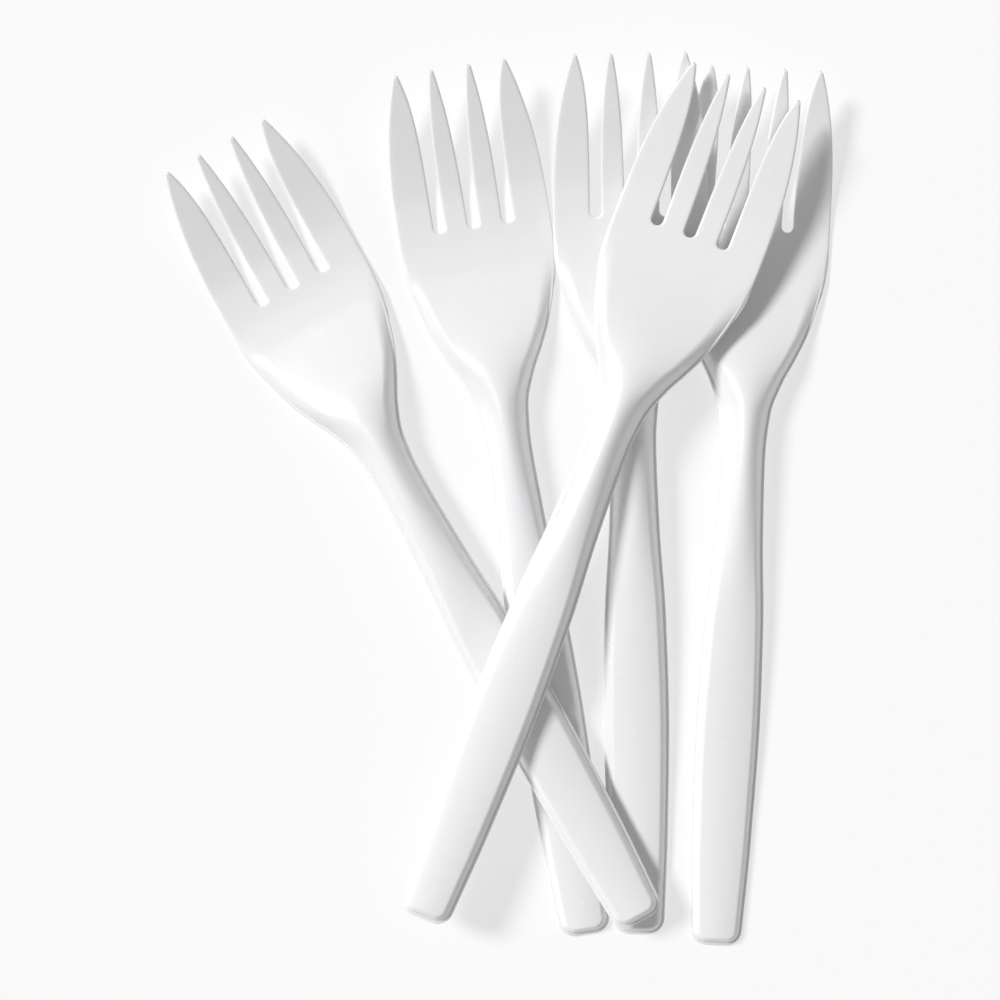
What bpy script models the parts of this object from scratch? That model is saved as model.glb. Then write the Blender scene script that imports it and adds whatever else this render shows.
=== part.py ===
"""A pack of five disposable plastic forks, lying loosely across one another on a table.

Every fork is the same one-piece moulding: a handle of inverted channel section with a thin rim
round its foot, a neck, a shallow head and four tines that rise towards their tips. Three forks
lie side by side, one lies with its handle across two handle ends, and one lies across them all.
Run with: blender --background --python part.py
"""

import math

import bmesh
import bpy
import numpy as np
from mathutils import Matrix, Vector
from mathutils.bvhtree import BVHTree

MM = 0.001

# Driving dimensions in millimetres. A fork lies along +Y, its handle end at y = 0, face up.
LENGTH = 171.0  # handle end to tine tips
ROOT_Y = 141.0  # where the tines divide
PLATE = 1.0  # thickness of the moulding
RIM = 0.55  # flat rim outside the foot of the side wall
END_RADIUS = 3.0  # plan radius of the handle end's two corners
WALL_MIDDLE = 0.45  # share of the wall's width, from its top, where its middle edge runs
GAP_RADIUS = 1.15  # round root of each gap between tines

# Stations along the fork: distance from the handle end, half width of the outline, plan width
# of the sloping side wall, its height, the crown of the panel between the walls, and the height
# of the rim's upper face.
STATIONS = (
    (0.0, 4.95, 1.3, 1.8, 0.35, 1.0),
    (21.0, 6.0, 1.4, 2.0, 0.42, 1.0),
    (43.0, 6.45, 1.5, 2.3, 0.42, 1.7),
    (63.0, 6.0, 1.6, 2.8, 0.45, 2.7),
    (81.0, 4.9, 1.8, 3.4, 0.75, 3.6),
    (97.0, 4.45, 2.0, 3.9, 0.95, 4.0),
    (105.0, 5.1, 2.4, 4.1, 0.9, 3.7),
    (111.0, 7.1, 2.5, 4.0, 0.9, 3.2),
    (116.0, 9.6, 2.4, 3.6, 0.75, 2.7),
    (121.0, 11.8, 2.4, 2.5, 0.5, 2.2),
    (127.0, 13.6, 2.4, 1.1, 0.25, 1.7),
    (133.0, 14.8, 2.4, 0.2, 0.0, 1.25),
    (139.0, 15.2, 2.4, 0.0, 0.0, 1.0),
    (146.0, 15.2, 2.4, 0.0, 0.0, 1.5),
    (153.0, 15.2, 2.4, 0.0, 0.0, 3.2),
    (161.0, 15.2, 2.4, 0.0, 0.0, 6.0),
    (171.0, 15.2, 2.4, 0.0, 0.0, 9.8),
)
# Plan lines of the tines, each as (value at the root, value at the tip, power of its curve).
INNER_CENTRE = (3.4, 3.65, 1.0)
INNER_HALF_WIDTH = (2.25, 0.42, 3.2)
OUTER_NEAR_EDGE = (7.95, 10.2, 5.0)
OUTER_FAR_EDGE = (15.2, 10.95, 2.6)
# The mesh's columns pass from following the walls to following the tines between these two.
REGROUP_FROM, REGROUP_TO = 126.0, 139.0

# Rows of the mesh, apart from those round the handle end and the gap roots.
HANDLE_ROWS = (11, 21, 32, 43, 54, 64, 73, 81, 89, 96, 101, 105, 108.5, 112, 115, 118, 121)
HEAD_ROWS = (124, 127, 130.5, 134, 138)
TINE_ROWS = (144.5, 148, 151.5, 155, 159, 162.5, 165.5, 168, 169.8, 170.6, 171)
GAP_STEPS = 3  # rows round a quarter of a gap's root

# Where each fork lies, from the lowest up: its name, the middle of its handle end, and its
# heading in degrees, clockwise from +Y.
PLACES = (
    ("fork_right", 42.4, -87.8, 3.0),
    ("fork_centre_left", 17.0, -85.7, -9.0),
    ("fork_centre_right", 27.2, -85.6, -0.7),
    ("fork_left", 27.5, -81.5, -28.9),
    ("fork_across", -15.0, -80.2, 21.3),
)
CLEARANCE = 0.35  # between one fork and what lies across it
PROBE_SPACING = 0.8  # grid on which the forks are tried against one another
SETTLING_ROUNDS = 5

PLASTIC_COLOUR = (0.86, 0.865, 0.87, 1.0)
PLASTIC_ROUGHNESS = 0.22


def smooth_curve(xs, ys, x):
    """A smooth curve through the points, read at x. It never overshoots a point."""
    gap = np.diff(xs)
    rise = np.diff(ys) / gap
    slope = np.concatenate([rise[:1], np.zeros(len(rise) - 1), rise[-1:]])
    turns = rise[:-1] * rise[1:]
    steady = np.where(turns > 0)[0]
    slope[steady + 1] = 2 * turns[steady] / (rise[steady] + rise[steady + 1])
    i = np.clip(np.searchsorted(xs, x) - 1, 0, len(gap) - 1)
    t = (x - xs[i]) / gap[i]
    start = (1 + 2 * t) * (1 - t) ** 2 * ys[i] + t * (1 - t) ** 2 * gap[i] * slope[i]
    end = t**2 * (3 - 2 * t) * ys[i + 1] - t**2 * (1 - t) * gap[i] * slope[i + 1]
    return start + end


def station(y):
    """Half width, wall width, wall height, crown and rim height at y."""
    table = np.array(STATIONS).T
    width, wall, depth, crown, rim = (smooth_curve(table[0], row, y) for row in table[1:])
    return np.where(y > ROOT_Y, tine_line(OUTER_FAR_EDGE, y), width), wall, depth, crown, rim


def tine_line(line, y):
    """One of the tines' plan lines at y."""
    root, tip, power = line
    along = np.clip((y - ROOT_Y) / (LENGTH - ROOT_Y), 0, 1)
    return root + (tip - root) * along**power


def edge_depth(x, y, width):
    """How far a plan point is inside the handle's outline, whose end has round corners."""
    side = width - np.abs(x)
    corner = END_RADIUS - np.hypot(END_RADIUS - side, END_RADIUS - y)
    inside_corner = (side < END_RADIUS) & (y < END_RADIUS)
    return np.where(inside_corner, corner, np.minimum(side, y))


def upper_face(x, y):
    """(height of the upper face, share of the way down the side wall) at a plan point."""
    width, wall, depth, crown, rim = station(y)
    panel = width - RIM - wall
    down = np.clip(1 - (edge_depth(x, y, width) - RIM) / wall, 0, 1)
    panel_top = depth + crown * (1 - np.minimum(np.abs(x) / panel, 1) ** 2)
    # The wall starts at the slope with which the crowned panel reaches it, then steepens.
    first_slope = np.clip(2 * crown * wall / (panel * np.maximum(depth, 0.01)), 0, 1)
    return rim + panel_top * (1 - first_slope * down - (1 - first_slope) * down**2), down


def lower_point(x, y, z):
    """The point of the lower face behind a point of the upper one, PLATE away."""
    step = 0.02
    slope_x = (upper_face(x + step, y)[0] - upper_face(x - step, y)[0]) / (2 * step)
    slope_y = (upper_face(x, y + step)[0] - upper_face(x, y - step)[0]) / (2 * step)
    steepness = np.sqrt(1 + slope_x**2 + slope_y**2)
    on_rim = upper_face(x, y)[1] > 0.999
    drop = np.where(on_rim, PLATE, PLATE / steepness)
    # At the very end of the handle the slope is the rim's, not that of the air beyond it.
    slope_y = np.where(y < RIM / 2, 0, slope_y)
    return x + PLATE * slope_x / steepness, y + PLATE * slope_y / steepness, z - drop


def tine_edges(y):
    """Plan positions of the right half's six columns where they follow the tines."""
    centre, half = tine_line(INNER_CENTRE, y), tine_line(INNER_HALF_WIDTH, y)
    inner_near, inner_far = centre - half, centre + half
    outer_near, outer_far = tine_line(OUTER_NEAR_EDGE, y), tine_line(OUTER_FAR_EDGE, y)
    # The gaps close to a round root.
    from_root = np.clip((y - ROOT_Y) / GAP_RADIUS, 0, 1)
    open_share = np.sqrt(1 - (1 - from_root) ** 2)
    gap_centre, gap_half = (inner_far + outer_near) / 2, (outer_near - inner_far) / 2
    return (
        inner_near * open_share,
        centre,
        gap_centre - gap_half * open_share,
        gap_centre + gap_half * open_share,
        (outer_near + outer_far) / 2,
        outer_far,
    )


def wall_edges(y):
    """Plan positions of the right half's six columns where they follow the side wall."""
    width, wall = station(y)[:2]
    panel = width - RIM - wall
    foot = width - RIM
    return 0.3 * panel, 0.7 * panel, panel, panel + WALL_MIDDLE * wall, foot, width


def round_end(x, y):
    """Moves plan points at the handle end's two square corners into round ones."""
    width = station(y)[0]
    side = width - np.abs(x)
    nearest = np.minimum(side, y)
    arc_radius = END_RADIUS - nearest
    along = np.abs(side - y)
    in_corner = (along < arc_radius) & (y < END_RADIUS)
    angle = math.pi / 4 * (1 - along / np.maximum(arc_radius, 1e-6))
    near = END_RADIUS - arc_radius * np.cos(angle)
    far = END_RADIUS - arc_radius * np.sin(angle)
    new_side = np.where(side < y, near, far)
    new_y = np.where(side < y, far, near)
    new_x = np.sign(x) * (width - new_side)
    return np.where(in_corner, new_x, x), np.where(in_corner, new_y, y)


def fork_grid():
    """Plan points of the upper face as a grid of rows and columns, and the row of the roots."""
    end_wall = STATIONS[0][2]
    end_rows = [0, RIM, RIM + (1 - WALL_MIDDLE) * end_wall, RIM + end_wall, END_RADIUS]
    turns = np.linspace(0, math.pi / 2, GAP_STEPS + 1)
    gap_rows = list(ROOT_Y + GAP_RADIUS * (1 - np.cos(turns)))
    before = end_rows + list(HANDLE_ROWS) + list(HEAD_ROWS)
    rows = np.array(before + gap_rows + list(TINE_ROWS), float)
    regrouped = np.clip((rows - REGROUP_FROM) / (REGROUP_TO - REGROUP_FROM), 0, 1)
    share = regrouped**2 * (3 - 2 * regrouped)
    half = np.array(wall_edges(rows)) * (1 - share) + np.array(tine_edges(rows)) * share
    x = np.concatenate([-half[::-1], half]).T
    y = np.repeat(rows[:, None], x.shape[1], axis=1)
    # The tips are rounded a little by drawing their last row together.
    for left, middle, right in ((0, 1, 2), (3, 4, 5), (6, 7, 8), (9, 10, 11)):
        for edge in (left, right):
            x[-1, edge] = x[-1, middle] + 0.5 * (x[-1, edge] - x[-1, middle])
    return *round_end(x, y), len(before)


def fork_mesh():
    """One fork as a closed mesh in metres."""
    x, y, root_row = fork_grid()
    z = upper_face(x, y)[0]
    upper = np.stack([x, y, z], axis=-1)
    lower = np.stack(lower_point(x, y, z), axis=-1)
    # A lower point under a gap's root is the same for both tines beside it.
    for sheet in (upper, lower):
        for left, right in ((2, 3), (5, 6), (8, 9)):
            middle = (sheet[root_row, left] + sheet[root_row, right]) / 2
            sheet[root_row, left] = sheet[root_row, right] = middle
    bm = bmesh.new()
    sheets = [
        [[bm.verts.new(point * MM) for point in row] for row in sheet]
        for sheet in (upper, lower)
    ]
    row_count, column_count = x.shape
    gaps = (2, 5, 8)

    def solid(row, column):
        inside = 0 <= row < row_count - 1 and 0 <= column < column_count - 1
        return inside and not (row >= root_row and column in gaps)

    for row in range(row_count - 1):
        for column in range(column_count - 1):
            if not solid(row, column):
                continue
            corners = ((row, column), (row, column + 1), (row + 1, column + 1), (row + 1, column))
            for sheet in sheets:
                bm.faces.new([sheet[r][c] for r, c in corners])
            neighbours = ((row - 1, column), (row, column + 1), (row + 1, column), (row, column - 1))
            for side, beyond in enumerate(neighbours):
                if solid(*beyond):
                    continue
                (r0, c0), (r1, c1) = corners[side], corners[(side + 1) % 4]
                ends = (sheets[0][r0][c0], sheets[0][r1][c1], sheets[1][r1][c1], sheets[1][r0][c0])
                bm.faces.new(ends)
    bmesh.ops.remove_doubles(bm, verts=bm.verts, dist=1e-6)
    bmesh.ops.recalc_face_normals(bm, faces=bm.faces)
    mesh = bpy.data.meshes.new("fork")
    bm.to_mesh(mesh)
    bm.free()
    mesh.shade_smooth()
    mesh.set_sharp_from_angle(angle=math.radians(35))
    return mesh


def centre_of_gravity(mesh):
    """The centre of a closed mesh's volume."""
    mesh.calc_loop_triangles()
    volume, moment = 0.0, Vector()
    for triangle in mesh.loop_triangles:
        a, b, c = (mesh.vertices[i].co for i in triangle.vertices)
        part = a.dot(b.cross(c)) / 6
        volume += part
        moment += part * (a + b + c) / 4
    return moment / volume


def posed(mesh, pose):
    """The mesh's points placed by pose, and a search tree of its faces there."""
    points = [pose @ vertex.co for vertex in mesh.vertices]
    return points, BVHTree.FromPolygons(points, [face.vertices[:] for face in mesh.polygons])


def resting_plane(needs):
    """(lift, slope along x, slope along y) of the lowest plane over the origin that clears needs.

    Each need is (x, y, least height), in millimetres. The plane is the face of their convex hull
    that lies over the origin.
    """
    bm = bmesh.new()
    for need in needs:
        bm.verts.new(need)
    made = bmesh.ops.convex_hull(bm, input=bm.verts)
    spare = [item for item in made["geom_interior"] if isinstance(item, bmesh.types.BMVert)]
    bmesh.ops.delete(bm, geom=spare, context="VERTS")
    hull = BVHTree.FromBMesh(bm)
    point, normal = hull.ray_cast(Vector((0, 0, 1000)), Vector((0, 0, -1)))[:2]
    bm.free()
    return point.z, -normal.x / normal.z, -normal.y / normal.z


def probe(points, tree, placed, centre):
    """How far each place of a fork has to rise to clear the table and the forks below it.

    The second value says whether it crosses any of them.
    """
    down, up = Vector((0, 0, -1)), Vector((0, 0, 1))
    reach = LENGTH * 0.6
    steps = np.arange(-reach, reach, PROBE_SPACING)
    needs = [((p.x - centre.x) / MM, (p.y - centre.y) / MM, -p.z / MM) for p in points]
    crosses = False
    for dx in steps:
        for dy in steps:
            x, y = centre.x + dx * MM, centre.y + dy * MM
            under = tree.ray_cast(Vector((x, y, -1)), up)[0]
            if under is None:
                continue
            tops = [other.ray_cast(Vector((x, y, 1)), down)[0] for other in placed]
            for top in filter(None, tops):
                needs.append((dx, dy, (top.z - under.z) / MM + CLEARANCE))
                crosses = True
    return needs, crosses


def settled_pose(mesh, balance, placed, x, y, heading):
    """The pose of a fork laid down at x, y on the table and on the forks already placed."""
    turn = Matrix.Rotation(-math.radians(heading), 4, "Z")
    pose = Matrix.Translation((x * MM, y * MM, 0)) @ turn
    for _ in range(SETTLING_ROUNDS):
        centre = pose @ balance
        needs, crosses = probe(*posed(mesh, pose), placed, centre)
        if not crosses:
            return pose  # a fork rests on its handle's rim and its head as it is modelled
        lift, slope_x, slope_y = resting_plane(needs)
        upright = Vector((-slope_x, -slope_y, 1)).normalized()
        tilt = Vector((0, 0, 1)).rotation_difference(upright).to_matrix().to_4x4()
        about = Matrix.Translation(centre) @ tilt @ Matrix.Translation(-centre)
        pose = Matrix.Translation((0, 0, lift * MM)) @ about @ pose
    return pose


def plastic():
    """Glossy white polystyrene."""
    material = bpy.data.materials.new("white_plastic")
    material.use_nodes = True
    shader = material.node_tree.nodes["Principled BSDF"]
    shader.inputs["Base Color"].default_value = PLASTIC_COLOUR
    shader.inputs["Roughness"].default_value = PLASTIC_ROUGHNESS
    shader.inputs["Metallic"].default_value = 0.0
    return material


def main():
    for obj in list(bpy.data.objects):
        bpy.data.objects.remove(obj, do_unlink=True)
    mesh = fork_mesh()
    mesh.materials.append(plastic())
    balance = centre_of_gravity(mesh)
    poses, placed = {}, []
    for name, x, y, heading in PLACES:
        poses[name] = settled_pose(mesh, balance, placed, x, y, heading)
        placed.append(posed(mesh, poses[name])[1])
    corners = np.array([pose @ v.co for pose in poses.values() for v in mesh.vertices])
    low, high = corners.min(axis=0), corners.max(axis=0)
    middle = Vector(((low[0] + high[0]) / 2, (low[1] + high[1]) / 2, low[2]))
    for name, pose in poses.items():
        fork = bpy.data.objects.new(name, mesh)
        fork.matrix_world = Matrix.Translation(-middle) @ pose
        bpy.context.scene.collection.objects.link(fork)


main()
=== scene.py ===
"""Looks of a pack of five disposable plastic forks.

Each packed fork is replaced by a fine mesh of the same moulding: the same plan lines and section,
with rounded edges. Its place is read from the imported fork, whose own axes of inertia it takes up.
"""

import math

import bpy
import numpy as np
from mathutils import Matrix, Vector


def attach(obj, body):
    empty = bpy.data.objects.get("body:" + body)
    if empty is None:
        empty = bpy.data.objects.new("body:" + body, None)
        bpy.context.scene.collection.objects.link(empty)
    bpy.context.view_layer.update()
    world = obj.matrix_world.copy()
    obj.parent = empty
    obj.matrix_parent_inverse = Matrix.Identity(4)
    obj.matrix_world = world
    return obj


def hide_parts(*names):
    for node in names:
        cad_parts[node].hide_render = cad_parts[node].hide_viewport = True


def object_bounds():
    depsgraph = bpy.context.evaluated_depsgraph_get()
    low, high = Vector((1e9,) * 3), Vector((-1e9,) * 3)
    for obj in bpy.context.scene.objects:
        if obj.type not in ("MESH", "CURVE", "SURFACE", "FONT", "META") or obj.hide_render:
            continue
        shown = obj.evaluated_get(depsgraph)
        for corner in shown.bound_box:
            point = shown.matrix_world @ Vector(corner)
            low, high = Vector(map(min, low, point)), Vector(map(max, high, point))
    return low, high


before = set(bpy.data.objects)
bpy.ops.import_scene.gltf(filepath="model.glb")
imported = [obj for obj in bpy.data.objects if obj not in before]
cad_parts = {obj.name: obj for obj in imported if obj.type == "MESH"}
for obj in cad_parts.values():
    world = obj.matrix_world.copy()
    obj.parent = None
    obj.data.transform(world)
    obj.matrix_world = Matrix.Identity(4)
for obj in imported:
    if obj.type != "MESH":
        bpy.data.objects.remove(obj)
cad_low, cad_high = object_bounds()

MM = 0.001

# Driving dimensions of a fork, in millimetres. It lies along +Y, handle end at y = 0, face up.
LENGTH = 171.0
ROOT_Y = 141.0  # where the tines divide
PLATE = 1.0  # thickness of the moulding
RIM = 0.55  # flat rim outside the foot of the side wall
END_RADIUS = 3.0
WALL_MIDDLE = 0.45
GAP_RADIUS = 1.15
UPPER_RADIUS, LOWER_RADIUS = 0.4, 0.22  # rounding of the edges
# Distance from the handle end, half width, wall width, wall height, panel crown, rim height.
STATIONS = (
    (0.0, 4.95, 1.3, 1.8, 0.35, 1.0),
    (21.0, 6.0, 1.4, 2.0, 0.42, 1.0),
    (43.0, 6.45, 1.5, 2.3, 0.42, 1.7),
    (63.0, 6.0, 1.6, 2.8, 0.45, 2.7),
    (81.0, 4.9, 1.8, 3.4, 0.75, 3.6),
    (97.0, 4.45, 2.0, 3.9, 0.95, 4.0),
    (105.0, 5.1, 2.4, 4.1, 0.9, 3.7),
    (111.0, 7.1, 2.5, 4.0, 0.9, 3.2),
    (116.0, 9.6, 2.4, 3.6, 0.75, 2.7),
    (121.0, 11.8, 2.4, 2.5, 0.5, 2.2),
    (127.0, 13.6, 2.4, 1.1, 0.25, 1.7),
    (133.0, 14.8, 2.4, 0.2, 0.0, 1.25),
    (139.0, 15.2, 2.4, 0.0, 0.0, 1.0),
    (146.0, 15.2, 2.4, 0.0, 0.0, 1.5),
    (153.0, 15.2, 2.4, 0.0, 0.0, 3.2),
    (161.0, 15.2, 2.4, 0.0, 0.0, 6.0),
    (171.0, 15.2, 2.4, 0.0, 0.0, 9.8),
)
# Plan lines of the tines, each as (value at the root, value at the tip, power of its curve).
INNER_CENTRE = (3.4, 3.65, 1.0)
INNER_HALF_WIDTH = (2.25, 0.42, 3.2)
OUTER_NEAR_EDGE = (7.95, 10.2, 5.0)
OUTER_FAR_EDGE = (15.2, 10.95, 2.6)
REGROUP_FROM, REGROUP_TO = 126.0, 139.0

# Fine mesh: distances from an edge at which it has a line of points, and its usual spacing.
EDGE_STEPS = (0.0, 0.02, 0.06, 0.12, 0.24, 0.4)
ROW_SPACING = 0.9
ROOT_STEPS = 12  # rows round a quarter of a gap's root
TINE_SPLITS = 5  # columns between a tine's edge lines and its middle
GAP_SPLITS = 5
EDGE_ROOM = 0.45  # most of a narrow strip's width that one edge's lines may take
END_SPACING = 0.25  # of the rows near the handle end
END_WALL_ROWS = 11
TINE_ROWS_SHARE = 1.2  # rows on the tines, against the usual spacing
TIP_ROWS_FROM = 0.4  # distance from the tip at which its own rows start
TIP_WIDTH_SHARE = 0.25  # of a tine's width that is left at its very tip


def smooth_curve(xs, ys, x):
    """A smooth curve through the points, read at x. It never overshoots a point."""
    gap = np.diff(xs)
    rise = np.diff(ys) / gap
    slope = np.concatenate([rise[:1], np.zeros(len(rise) - 1), rise[-1:]])
    turns = rise[:-1] * rise[1:]
    steady = np.where(turns > 0)[0]
    slope[steady + 1] = 2 * turns[steady] / (rise[steady] + rise[steady + 1])
    i = np.clip(np.searchsorted(xs, x) - 1, 0, len(gap) - 1)
    t = (x - xs[i]) / gap[i]
    start = (1 + 2 * t) * (1 - t) ** 2 * ys[i] + t * (1 - t) ** 2 * gap[i] * slope[i]
    end = t**2 * (3 - 2 * t) * ys[i + 1] - t**2 * (1 - t) * gap[i] * slope[i + 1]
    return start + end


def tine_line(line, y):
    """One of the tines' plan lines at y."""
    root, tip, power = line
    along = np.clip((y - ROOT_Y) / (LENGTH - ROOT_Y), 0, 1)
    return root + (tip - root) * along**power


def station(y):
    """Half width, wall width, wall height, crown and rim height at y."""
    table = np.array(STATIONS).T
    width, wall, depth, crown, rim = (smooth_curve(table[0], row, y) for row in table[1:])
    return np.where(y > ROOT_Y, tine_line(OUTER_FAR_EDGE, y), width), wall, depth, crown, rim


def edge_depth(x, y, width):
    """How far a plan point is inside the handle's outline, whose end has round corners."""
    side = width - np.abs(x)
    corner = END_RADIUS - np.hypot(END_RADIUS - side, END_RADIUS - y)
    inside_corner = (side < END_RADIUS) & (y < END_RADIUS)
    return np.where(inside_corner, corner, np.minimum(side, y))


def gap_lines(y):
    """(centre, half width) of the middle gap and of a side gap, open all the way to the root."""
    centre, half = tine_line(INNER_CENTRE, y), tine_line(INNER_HALF_WIDTH, y)
    inner_far, outer_near = centre + half, tine_line(OUTER_NEAR_EDGE, y)
    middle_gap = (0 * y, centre - half)
    return middle_gap, ((inner_far + outer_near) / 2, (outer_near - inner_far) / 2)


def nearest_edge(x, y):
    """Distance in plan from the closest edge of the moulding, outline or gap."""
    nearest = np.minimum(edge_depth(x, y, station(y)[0]), LENGTH - y)
    past_root = y - ROOT_Y - GAP_RADIUS
    for centre, half in gap_lines(y):
        beside = np.abs(np.abs(x) - centre) - half
        before = np.hypot(np.abs(x) - centre, past_root) - GAP_RADIUS
        nearest = np.minimum(nearest, np.where(past_root > 0, beside, before))
    return np.maximum(nearest, 0)


def rounding(x, y, radius):
    """How far a face draws back from the flat at a plan point, to round its edge."""
    inside = np.clip(nearest_edge(x, y), 0, radius)
    return radius - np.sqrt(radius**2 - (radius - inside) ** 2)


def upper_face(x, y):
    """(height of the upper face, share of the way down the side wall), edges left square."""
    width, wall, depth, crown, rim = station(y)
    panel = width - RIM - wall
    down = np.clip(1 - (edge_depth(x, y, width) - RIM) / wall, 0, 1)
    panel_top = depth + crown * (1 - np.minimum(np.abs(x) / panel, 1) ** 2)
    # The wall starts at the slope with which the crowned panel reaches it, then steepens.
    first_slope = np.clip(2 * crown * wall / (panel * np.maximum(depth, 0.01)), 0, 1)
    return rim + panel_top * (1 - first_slope * down - (1 - first_slope) * down**2), down


def lower_point(x, y, z):
    """The point of the lower face behind a point of the upper one, PLATE away."""
    step = 0.02
    slope_x = (upper_face(x + step, y)[0] - upper_face(x - step, y)[0]) / (2 * step)
    slope_y = (upper_face(x, y + step)[0] - upper_face(x, y - step)[0]) / (2 * step)
    steepness = np.sqrt(1 + slope_x**2 + slope_y**2)
    on_rim = upper_face(x, y)[1] > 0.999
    drop = np.where(on_rim, PLATE, PLATE / steepness)
    slope_y = np.where(y < RIM / 2, 0, slope_y)
    return x + PLATE * slope_x / steepness, y + PLATE * slope_y / steepness, z - drop


def tine_edges(y):
    """Plan positions of the right half's six guide lines where they follow the tines."""
    (_, middle_half), (side_centre, side_half) = gap_lines(y)
    from_root = np.clip((y - ROOT_Y) / GAP_RADIUS, 0, 1)
    open_share = np.sqrt(1 - (1 - from_root) ** 2)
    outer_near, outer_far = tine_line(OUTER_NEAR_EDGE, y), tine_line(OUTER_FAR_EDGE, y)
    return (
        middle_half * open_share,
        tine_line(INNER_CENTRE, y),
        side_centre - side_half * open_share,
        side_centre + side_half * open_share,
        (outer_near + outer_far) / 2,
        outer_far,
    )


def wall_edges(y):
    """Plan positions of the right half's six guide lines where they follow the side wall."""
    width, wall = station(y)[:2]
    panel = width - RIM - wall
    return 0.3 * panel, 0.7 * panel, panel, panel + WALL_MIDDLE * wall, width - RIM, width


def round_end(x, y):
    """Moves plan points at the handle end's two square corners into round ones."""
    width = station(y)[0]
    side = width - np.abs(x)
    arc_radius = END_RADIUS - np.minimum(side, y)
    along = np.abs(side - y)
    in_corner = (along < arc_radius) & (y < END_RADIUS)
    angle = math.pi / 4 * (1 - along / np.maximum(arc_radius, 1e-6))
    near = END_RADIUS - arc_radius * np.cos(angle)
    far = END_RADIUS - arc_radius * np.sin(angle)
    new_side = np.where(side < y, near, far)
    new_y = np.where(side < y, far, near)
    new_x = np.sign(x) * (width - new_side)
    return np.where(in_corner, new_x, x), np.where(in_corner, new_y, y)


def spread(start, end, splits, crowd_start, crowd_end):
    """Plan lines from start up to but not including end, crowded at the ends that are edges."""
    gap = end - start
    room = EDGE_ROOM * gap / EDGE_STEPS[-1]
    near = [start + step * np.minimum(room, 1) for step in EDGE_STEPS] if crowd_start else [start]
    last = [end - step * np.minimum(room, 1) for step in EDGE_STEPS[:0:-1]] if crowd_end else []
    low, high = near[-1], last[0] if last else end
    inner = [low + (high - low) * k / splits for k in range(1, splits)]
    return near + inner + last


def half_columns(rows):
    """The right half's plan lines, and which of the spaces between them are gaps."""
    regrouped = np.clip((rows - REGROUP_FROM) / (REGROUP_TO - REGROUP_FROM), 0, 1)
    share = regrouped**2 * (3 - 2 * regrouped)
    guides = np.array(wall_edges(rows)) * (1 - share) + np.array(tine_edges(rows)) * share
    pieces = (
        spread(guides[0], guides[1], TINE_SPLITS, True, False),
        spread(guides[1], guides[2], TINE_SPLITS, False, True),
        spread(guides[2], guides[3], GAP_SPLITS, False, False),
        spread(guides[3], guides[4], 2 * TINE_SPLITS, True, False),
        spread(guides[4], guides[5], TINE_SPLITS, False, True),
    )
    lines = [line for piece in pieces for line in piece] + [guides[5]]
    before_gap = len(pieces[0]) + len(pieces[1])
    return np.array(lines), range(before_gap, before_gap + GAP_SPLITS)


def row_places():
    """The rows of the fine mesh along the fork, and the number of the row at the gap roots."""
    end_wall = STATIONS[0][2]
    end = [*EDGE_STEPS, RIM]
    end += list(RIM + end_wall * np.linspace(0, 1, END_WALL_ROWS)[1:])
    end += list(np.arange(end[-1] + END_SPACING, END_RADIUS, END_SPACING))
    count = round((ROOT_Y - EDGE_STEPS[-1] - END_RADIUS) / ROW_SPACING)
    body = np.linspace(END_RADIUS, ROOT_Y - 2 * EDGE_STEPS[-1], count)
    before_root = [ROOT_Y - step for step in EDGE_STEPS[:0:-1]]
    turns = np.linspace(0, math.pi / 2, ROOT_STEPS + 1)
    root = ROOT_Y + GAP_RADIUS * (1 - np.cos(turns))
    start = root[-1]
    tine_count = round((LENGTH - start) / ROW_SPACING * TINE_ROWS_SHARE)
    tine = np.linspace(start, LENGTH - TIP_ROWS_FROM, tine_count)[1:]
    tip = [LENGTH - step for step in EDGE_STEPS[::-1]]
    before = [*end, *body, *before_root]
    return np.array([*before, *root, *tine, *tip]), len(before)


def fork_points():
    """Grids of the upper and lower faces' points, the root row and the columns of the gaps."""
    rows, root_row = row_places()
    half, half_gap = half_columns(rows)
    middle = [-half[0] + 2 * half[0] * k / GAP_SPLITS for k in range(1, GAP_SPLITS)]
    x = np.concatenate([-half[::-1], np.array(middle), half]).T
    y = np.repeat(rows[:, None], x.shape[1], axis=1)
    # The last rows draw together, so that each tip is round.
    to_tip = np.clip((LENGTH - y) / INNER_HALF_WIDTH[1], 0, 1)
    narrowed = np.sqrt(1 - (1 - to_tip) ** 2) * (1 - TIP_WIDTH_SHARE) + TIP_WIDTH_SHARE
    outer_centre = (tine_line(OUTER_NEAR_EDGE, y) + tine_line(OUTER_FAR_EDGE, y)) / 2
    inner_centre = tine_line(INNER_CENTRE, y)
    centre = np.where(np.abs(x) > (inner_centre + outer_centre) / 2, outer_centre, inner_centre)
    x = np.where(to_tip < 1, np.sign(x) * (centre + (np.abs(x) - centre) * narrowed), x)
    x, y = round_end(x, y)
    z = upper_face(x, y)[0]
    lower_x, lower_y, lower_z = lower_point(x, y, z)
    upper = np.stack([x, y, z - rounding(x, y, UPPER_RADIUS)], axis=-1)
    lower = np.stack([lower_x, lower_y, lower_z + rounding(x, y, LOWER_RADIUS)], axis=-1)
    columns = x.shape[1]
    count = half.shape[0]
    gaps = {count + GAP_SPLITS - 1 + k for k in half_gap}
    gaps |= {columns - 2 - k for k in gaps}
    gaps |= set(range(count - 1, count - 1 + GAP_SPLITS))
    for sheet in (upper, lower):
        for left, right in gap_runs(gaps):
            joined = sheet[root_row, left : right + 1].mean(axis=0)
            sheet[root_row, left : right + 1] = joined
    return upper, lower, root_row, gaps


def gap_runs(gaps):
    """(first column, last column) of each run of gap cells."""
    ordered = sorted(gaps)
    starts = [c for c in ordered if c - 1 not in gaps]
    ends = [c + 1 for c in ordered if c + 1 not in gaps]
    return zip(starts, ends, strict=True)


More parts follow.
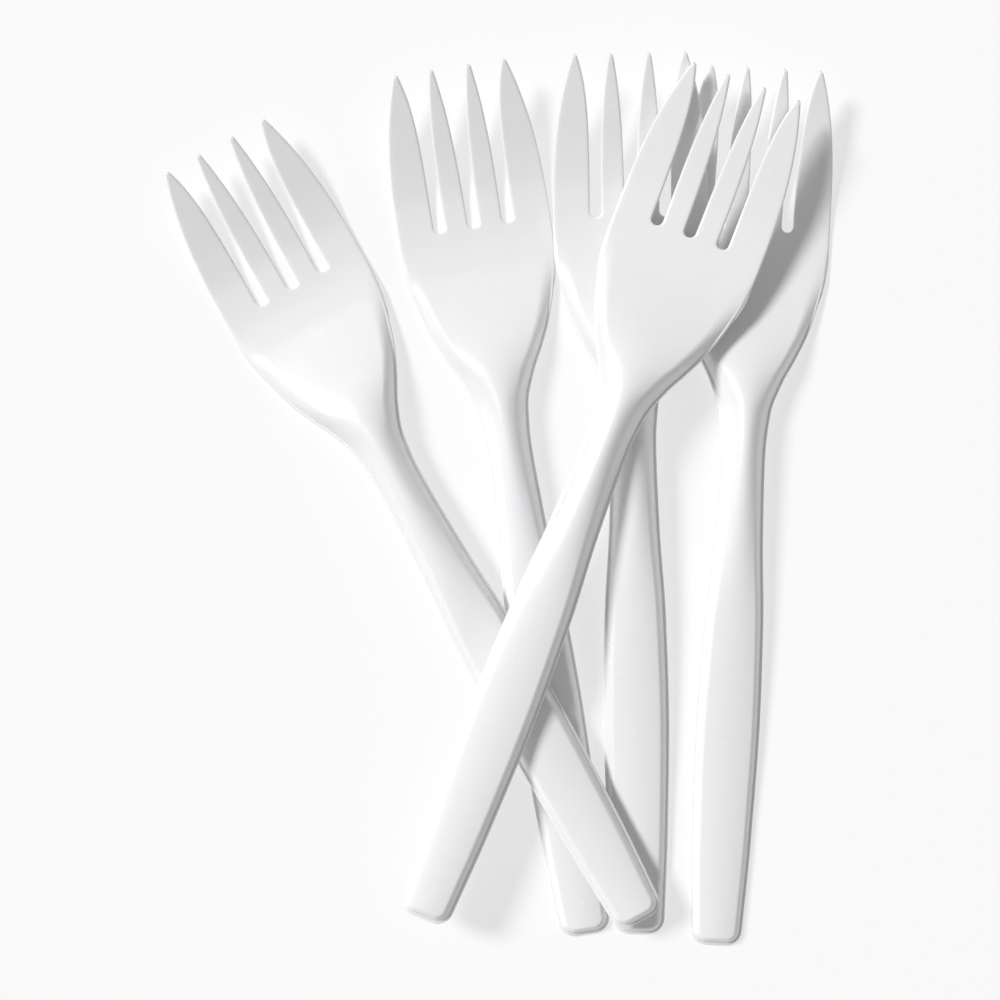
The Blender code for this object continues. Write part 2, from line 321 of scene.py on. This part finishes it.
def sheet_faces(root_row, gaps, shape):
    """Faces of the closed moulding over the grid: upper sheet, lower sheet and edges."""
    row_count, column_count = shape
    rows, columns = np.meshgrid(
        np.arange(row_count - 1), np.arange(column_count - 1), indexing="ij"
    )
    solid = np.ones((row_count + 1, column_count + 1), bool)
    solid[[0, -1], :] = False
    solid[:, [0, -1]] = False
    for gap in gaps:
        solid[root_row + 1 :, gap + 1] = False
    here = solid[1:-1, 1:-1]
    under = row_count * column_count
    corner = rows * column_count + columns
    corners = [corner, corner + 1, corner + column_count + 1, corner + column_count]
    faces = [np.stack([c[here] for c in corners], axis=1)]
    faces.append(np.stack([c[here] + under for c in corners[::-1]], axis=1))
    beyond = (solid[:-2, 1:-1], solid[1:-1, 2:], solid[2:, 1:-1], solid[1:-1, :-2])
    for side, neighbour in enumerate(beyond):
        edge = here & ~neighbour
        first, second = corners[side][edge], corners[(side + 1) % 4][edge]
        faces.append(np.stack([second, first, first + under, second + under], axis=1))
    return np.concatenate(faces)


def fork_mesh():
    """The fine mesh of one fork, in metres, closed and facing out."""
    upper, lower, root_row, gaps = fork_points()
    shape = upper.shape[:2]
    points = np.concatenate([upper.reshape(-1, 3), lower.reshape(-1, 3)]) * MM
    faces = sheet_faces(root_row, gaps, shape)
    kept, index = np.unique(np.round(points / 1e-7).astype(np.int64), axis=0, return_inverse=True)
    faces = index.reshape(-1)[faces]
    used = np.unique(faces)
    renumber = np.zeros(len(kept), int)
    renumber[used] = np.arange(len(used))
    polygons = []
    for face in renumber[faces]:
        corners = [int(c) for k, c in enumerate(face) if c != face[k - 1]]
        if len(set(corners)) >= 3:
            polygons.append(corners)
    mesh = bpy.data.meshes.new("fine_fork")
    mesh.from_pydata([tuple(p) for p in kept[used] * 1e-7], [], polygons)
    mesh.validate()
    mesh.shade_smooth()
    return mesh


def inertia_frame(mesh):
    """The pose of a fork's own axes: its centre of volume and its axes of inertia."""
    mesh.calc_loop_triangles()
    points = np.empty(len(mesh.vertices) * 3)
    mesh.vertices.foreach_get("co", points)
    points = points.reshape(-1, 3)
    index = np.empty(len(mesh.loop_triangles) * 3, np.int32)
    mesh.loop_triangles.foreach_get("vertices", index)
    corners = points[index.reshape(-1, 3)]
    origin = points.mean(axis=0)
    a, b, c = (corners[:, k] - origin for k in range(3))
    volume = np.einsum("ij,ij->i", a, np.cross(b, c)) / 6
    total = a + b + c
    centre = (volume[:, None] * total).sum(axis=0) / (4 * volume.sum())
    second = sum(np.einsum("i,ij,ik->jk", volume, p, p) for p in (a, b, c, total)) / 20
    second = second / volume.sum() - np.outer(centre, centre)
    axes = np.linalg.eigh(second)[1]
    length, up = Vector(axes[:, 2]), Vector(axes[:, 0])
    length = length if length.y > 0 else -length
    up = up if up.z > 0 else -up
    across = length.cross(up)
    turn = Matrix((across, length, up)).transposed().to_4x4()
    return Matrix.Translation(Vector(centre + origin)) @ turn


def lowest_point(mesh, place):
    """Height of the lowest vertex of a mesh that stands at a place."""
    return min((place @ vertex.co).z for vertex in mesh.vertices)


def link(nodes, start, end):
    """Joins one socket to another in a node tree."""
    nodes.id_data.links.new(start, end)


def plastic_material():
    """Glossy white polystyrene: a milky moulding with faint flow marks and a fine ripple."""
    material = bpy.data.materials.new("white_plastic_moulding")
    material.use_nodes = True
    nodes = material.node_tree.nodes
    shader = nodes["Principled BSDF"]
    shader.inputs["IOR"].default_value = 1.55
    shader.inputs["Subsurface Weight"].default_value = 0.15
    shader.inputs["Subsurface Radius"].default_value = (1.0, 0.95, 0.9)
    shader.inputs["Subsurface Scale"].default_value = 0.0012
    place = nodes.new("ShaderNodeTexCoord")
    stretch = nodes.new("ShaderNodeMapping")
    stretch.inputs["Scale"].default_value = (260.0, 45.0, 260.0)
    link(nodes, place.outputs["Object"], stretch.inputs["Vector"])

    flow = nodes.new("ShaderNodeTexNoise")
    flow.inputs["Scale"].default_value = 1.0
    flow.inputs["Detail"].default_value = 3.0
    link(nodes, stretch.outputs["Vector"], flow.inputs["Vector"])
    tint = nodes.new("ShaderNodeValToRGB")
    tint.color_ramp.elements[0].color = (0.845, 0.849, 0.86, 1.0)
    tint.color_ramp.elements[1].color = (0.875, 0.878, 0.884, 1.0)
    link(nodes, flow.outputs["Fac"], tint.inputs["Fac"])
    link(nodes, tint.outputs["Color"], shader.inputs["Base Color"])

    smear = nodes.new("ShaderNodeTexNoise")
    smear.inputs["Scale"].default_value = 120.0
    smear.inputs["Detail"].default_value = 4.0
    link(nodes, place.outputs["Object"], smear.inputs["Vector"])
    gloss = nodes.new("ShaderNodeMapRange")
    gloss.inputs["To Min"].default_value = 0.22
    gloss.inputs["To Max"].default_value = 0.3
    link(nodes, smear.outputs["Fac"], gloss.inputs["Value"])
    link(nodes, gloss.outputs["Result"], shader.inputs["Roughness"])

    ripple = nodes.new("ShaderNodeTexNoise")
    ripple.inputs["Scale"].default_value = 330.0
    ripple.inputs["Detail"].default_value = 2.0
    link(nodes, place.outputs["Object"], ripple.inputs["Vector"])
    bump = nodes.new("ShaderNodeBump")
    bump.inputs["Strength"].default_value = 0.12
    bump.inputs["Distance"].default_value = 0.00004
    link(nodes, ripple.outputs["Fac"], bump.inputs["Height"])
    link(nodes, bump.outputs["Normal"], shader.inputs["Normal"])
    return material


def make_forks():
    """A fine fork in the place of each packed one."""
    mesh = fork_mesh()
    mesh.materials.append(plastic_material())
    own_frame = inertia_frame(mesh)
    for node, packed in sorted(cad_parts.items()):
        fork = bpy.data.objects.new(node + "_fine", mesh)
        bpy.context.scene.collection.objects.link(fork)
        place = inertia_frame(packed.data) @ own_frame.inverted()
        lift = lowest_point(packed.data, Matrix()) - lowest_point(mesh, place)
        fork.matrix_world = Matrix.Translation((0, 0, lift)) @ place
        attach(fork, "root")
        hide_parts(node)


def floor_material():
    """A pale table. Its own glow keeps it nearly as bright in a shadow as out of it."""
    material = bpy.data.materials.new("pale_floor")
    material.use_nodes = True
    shader = material.node_tree.nodes["Principled BSDF"]
    shader.inputs["Base Color"].default_value = FLOOR_COLOUR
    shader.inputs["Roughness"].default_value = 0.8
    shader.inputs["Specular IOR Level"].default_value = 0.1
    shader.inputs["Emission Color"].default_value = (1.0, 1.0, 1.0, 1.0)
    shader.inputs["Emission Strength"].default_value = FLOOR_GLOW
    return material


FLOOR_SIDE = 12.0
FLOOR_COLOUR = (0.35, 0.35, 0.35, 1.0)
FLOOR_GLOW = 0.62
CAMERA_HEIGHT = 0.400
FIELD_WIDTH = 0.1975  # of the table, across the picture
SENSOR_WIDTH = 36.0
VIEW_OFFSET = Vector((-0.00017, 0.00106))  # of the picture's middle from the pack's
KEY_AZIMUTH = math.radians(27)  # from the left towards the tines
KEY_ELEVATION = math.radians(46)
KEY_ANGLE = math.radians(14)
KEY_STRENGTH = 2.67
AMBIENT = 0.32


def make_floor():
    """The table, level with the lowest point of the pack."""
    bpy.ops.mesh.primitive_plane_add(size=FLOOR_SIDE, location=(0, 0, cad_low.z))
    floor = bpy.context.object
    floor.name = "floor"
    floor.data.materials.append(floor_material())


def make_camera():
    """Straight above the pack, with its handle ends at the bottom of the picture."""
    middle = (cad_low + cad_high) / 2
    data = bpy.data.cameras.new("camera")
    data.sensor_width = SENSOR_WIDTH
    data.lens = SENSOR_WIDTH * CAMERA_HEIGHT / FIELD_WIDTH
    camera = bpy.data.objects.new("camera", data)
    height = cad_low.z + CAMERA_HEIGHT
    camera.location = (middle.x + VIEW_OFFSET.x, middle.y + VIEW_OFFSET.y, height)
    bpy.context.scene.collection.objects.link(camera)
    bpy.context.scene.camera = camera


def make_lights():
    """A broad soft light from the left, and an even pale surround."""
    key = bpy.data.lights.new("key", "SUN")
    key.energy = KEY_STRENGTH
    key.angle = KEY_ANGLE
    light = bpy.data.objects.new("key", key)
    flat = math.cos(KEY_ELEVATION)
    across, along = -math.cos(KEY_AZIMUTH) * flat, math.sin(KEY_AZIMUTH) * flat
    towards = Vector((across, along, math.sin(KEY_ELEVATION)))
    light.rotation_mode = "QUATERNION"
    light.rotation_quaternion = towards.to_track_quat("Z", "Y")
    bpy.context.scene.collection.objects.link(light)
    world = bpy.data.worlds.new("surround")
    world.use_nodes = True
    background = world.node_tree.nodes["Background"]
    background.inputs["Color"].default_value = (1.0, 1.0, 1.0, 1.0)
    background.inputs["Strength"].default_value = AMBIENT
    bpy.context.scene.world = world
    bpy.context.scene.view_settings.view_transform = "Standard"


make_forks()
make_floor()
make_camera()
make_lights()
